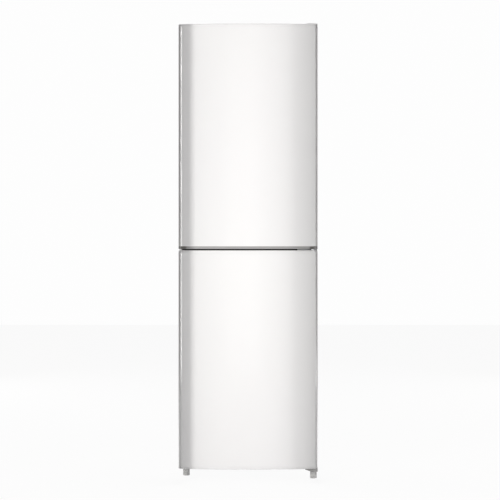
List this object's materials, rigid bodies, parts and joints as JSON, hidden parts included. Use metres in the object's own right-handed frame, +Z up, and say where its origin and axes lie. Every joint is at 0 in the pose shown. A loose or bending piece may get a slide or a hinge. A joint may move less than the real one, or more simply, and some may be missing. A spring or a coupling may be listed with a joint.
{
  "type": "bottom freezer refrigerator",
  "caption": "Free-standing refrigerator over a freezer, with crowned white doors hung on the right, glass shelves, door bins, pull-out drawers and a rear condenser.",
  "frame": {"origin": "on the floor, at the middle of the footprint", "axes": "+X to the viewer's right when facing the doors, +Y from the doors to the wall, +Z up"},
  "size_m": [0.55, 0.63, 1.8],
  "materials": {
    "door_paint": "gloss white paint",
    "cabinet_paint": "satin white paint",
    "zinc_steel": "galvanised sheet",
    "hinge_steel": "zinc-plated plate",
    "liner_plastic": "glossy vacuum-formed sheet",
    "white_plastic": "moulded, satin gloss",
    "grey_plastic": "moulded, fine grain",
    "foot_plastic": "moulded, slightly worn",
    "black_plastic": "moulded, matt black",
    "clear_plastic": "clear polystyrene",
    "frosted_plastic": "translucent blue-white",
    "lens_plastic": "opal",
    "shelf_glass": "toughened sheet glass",
    "gasket_rubber": "soft extruded",
    "grommet_rubber": "moulded",
    "rigid_foam": "cut cellular foam, hidden",
    "black_paint": "satin black paint",
    "copper": "drawn tube",
    "bare_aluminium": "mill finish",
    "heater_steel": "heat-tinted tube"
  },
  "bodies": {
    "cabinet": {"air_duct": "white_plastic", "back_panel": "zinc_steel", "base_pan": "zinc_steel", "bottom_hinge": "hinge_steel", "bottom_hinge_cover": "grey_plastic", "cabinet_foam": "rigid_foam", "cabinet_shell": "cabinet_paint", "compressor": "black_paint", "compressor_carrier": "zinc_steel", "compressor_grommets": "grommet_rubber", "condenser": "black_paint", "condenser_brackets": "black_plastic", "control_housing": "white_plastic", "defrost_heater": "heater_steel", "drain_trough": "white_plastic", "evaporation_tray": "black_plastic", "evaporator": "bare_aluminium", "evaporator_cover": "white_plastic", "fan_motor": "black_plastic", "freezer_liner": "liner_plastic", "freezer_shelf_glass": "shelf_glass", "fridge_liner": "liner_plastic", "fridge_shelf_glass": "shelf_glass", "hinge_screws": "hinge_steel", "lamp_lens": "lens_plastic", "middle_hinge": "hinge_steel", "refrigerant_lines": "copper", "shelf_trims": "white_plastic", "terminal_box": "black_plastic", "top_hinge": "hinge_steel", "top_hinge_cover": "white_plastic"},
    "fridge_door": {"fridge_door_skin": "door_paint", "fridge_door_foam": "rigid_foam", "fridge_door_liner": "liner_plastic", "fridge_door_gasket": "gasket_rubber", "fridge_door_grip": "grey_plastic", "fridge_door_top_cap": "white_plastic", "fridge_door_bottom_cap": "grey_plastic", "door_bins": "clear_plastic", "dairy_bin": "clear_plastic"},
    "freezer_door": {"freezer_door_skin": "door_paint", "freezer_door_foam": "rigid_foam", "freezer_door_liner": "liner_plastic", "freezer_door_gasket": "gasket_rubber", "freezer_door_grip": "grey_plastic", "freezer_door_caps": "white_plastic"},
    "dairy_lid": {"dairy_lid": "clear_plastic"},
    "bottle_retainer": {"bottle_retainer": "grey_plastic"},
    "crisper": {"crisper": "clear_plastic"},
    "bottom_drawer": {"freezer_drawer_bottom": "frosted_plastic"},
    "middle_drawer": {"freezer_drawer_middle": "frosted_plastic"},
    "top_drawer": {"freezer_drawer_top": "frosted_plastic"},
    "thermostat_dial": {"thermostat_dial": "grey_plastic"},
    "cooling_button": {"cooling_button": "grey_plastic"},
    "damper_flap": {"damper_flap": "grey_plastic"},
    "fan_blade": {"fan_blade": "white_plastic"},
    "roller_left": {"roller_left": "foot_plastic"},
    "roller_right": {"roller_right": "foot_plastic"},
    "foot_left": {"foot_left": "foot_plastic"},
    "foot_right": {"foot_right": "foot_plastic"}
  },
  "joints": [
    {"name": "fridge_door_hinge", "type": "hinge", "parent": "cabinet", "child": "fridge_door", "pos_m": [0.259, -0.263, 0.908], "axis": [0, 0, 1], "range_deg": [0, 120]},
    {"name": "freezer_door_hinge", "type": "hinge", "parent": "cabinet", "child": "freezer_door", "pos_m": [0.259, -0.263, 0.042], "axis": [0, 0, 1], "range_deg": [0, 120]},
    {"name": "dairy_lid_hinge", "type": "hinge", "parent": "fridge_door", "child": "dairy_lid", "pos_m": [0, -0.234, 1.62025], "axis": [1, 0, 0], "range_deg": [0, 90]},
    {"name": "bottle_retainer_slide", "type": "slide", "parent": "fridge_door", "child": "bottle_retainer", "axis": [1, 0, 0], "range_m": [-0.12, 0.12]},
    {"name": "crisper_slide", "type": "slide", "parent": "cabinet", "child": "crisper", "axis": [0, -1, 0], "range_m": [0, 0.2105]},
    {"name": "bottom_drawer_slide", "type": "slide", "parent": "cabinet", "child": "bottom_drawer", "axis": [0, -1, 0], "range_m": [0, 0.1625]},
    {"name": "middle_drawer_slide", "type": "slide", "parent": "cabinet", "child": "middle_drawer", "axis": [0, -1, 0], "range_m": [0, 0.1625]},
    {"name": "top_drawer_slide", "type": "slide", "parent": "cabinet", "child": "top_drawer", "axis": [0, -1, 0], "range_m": [0, 0.1625]},
    {"name": "thermostat_dial_turn", "type": "hinge", "parent": "cabinet", "child": "thermostat_dial", "pos_m": [-0.052, -0.11, 1.721], "axis": [0, -1, 0], "range_deg": [-270, 0]},
    {"name": "cooling_button_press", "type": "slide", "parent": "cabinet", "child": "cooling_button", "axis": [0, 1, 0], "range_m": [0, 0.002], "stiffness_N_per_m": 300},
    {"name": "damper_flap_hinge", "type": "hinge", "parent": "cabinet", "child": "damper_flap", "pos_m": [0, 0.2165, 0.94925], "axis": [1, 0, 0], "range_deg": [0, 80]},
    {"name": "fan_spin", "type": "hinge", "parent": "cabinet", "child": "fan_blade", "pos_m": [0, 0.168, 0.76825], "axis": [0, 1, 0], "continuous": true},
    {"name": "roller_left_spin", "type": "hinge", "parent": "cabinet", "child": "roller_left", "pos_m": [-0.235, 0.252, 0.017], "axis": [1, 0, 0], "continuous": true},
    {"name": "roller_right_spin", "type": "hinge", "parent": "cabinet", "child": "roller_right", "pos_m": [0.235, 0.252, 0.017], "axis": [1, 0, 0], "continuous": true},
    {"name": "foot_left_turn", "type": "hinge", "parent": "cabinet", "child": "foot_left", "pos_m": [-0.248, -0.205, 0.006], "axis": [0, 0, 1], "continuous": true},
    {"name": "foot_right_turn", "type": "hinge", "parent": "cabinet", "child": "foot_right", "pos_m": [0.259, -0.263, 0.006], "axis": [0, 0, 1], "continuous": true}
  ],
  "couplings": [
    {"joint": "crisper_slide", "follows": "fridge_door_hinge", "m_per_rad": 0.10027},
    {"joint": "bottom_drawer_slide", "follows": "freezer_door_hinge", "m_per_rad": 0.077349},
    {"joint": "middle_drawer_slide", "follows": "freezer_door_hinge", "m_per_rad": 0.077349},
    {"joint": "top_drawer_slide", "follows": "freezer_door_hinge", "m_per_rad": 0.077349}
  ]
}
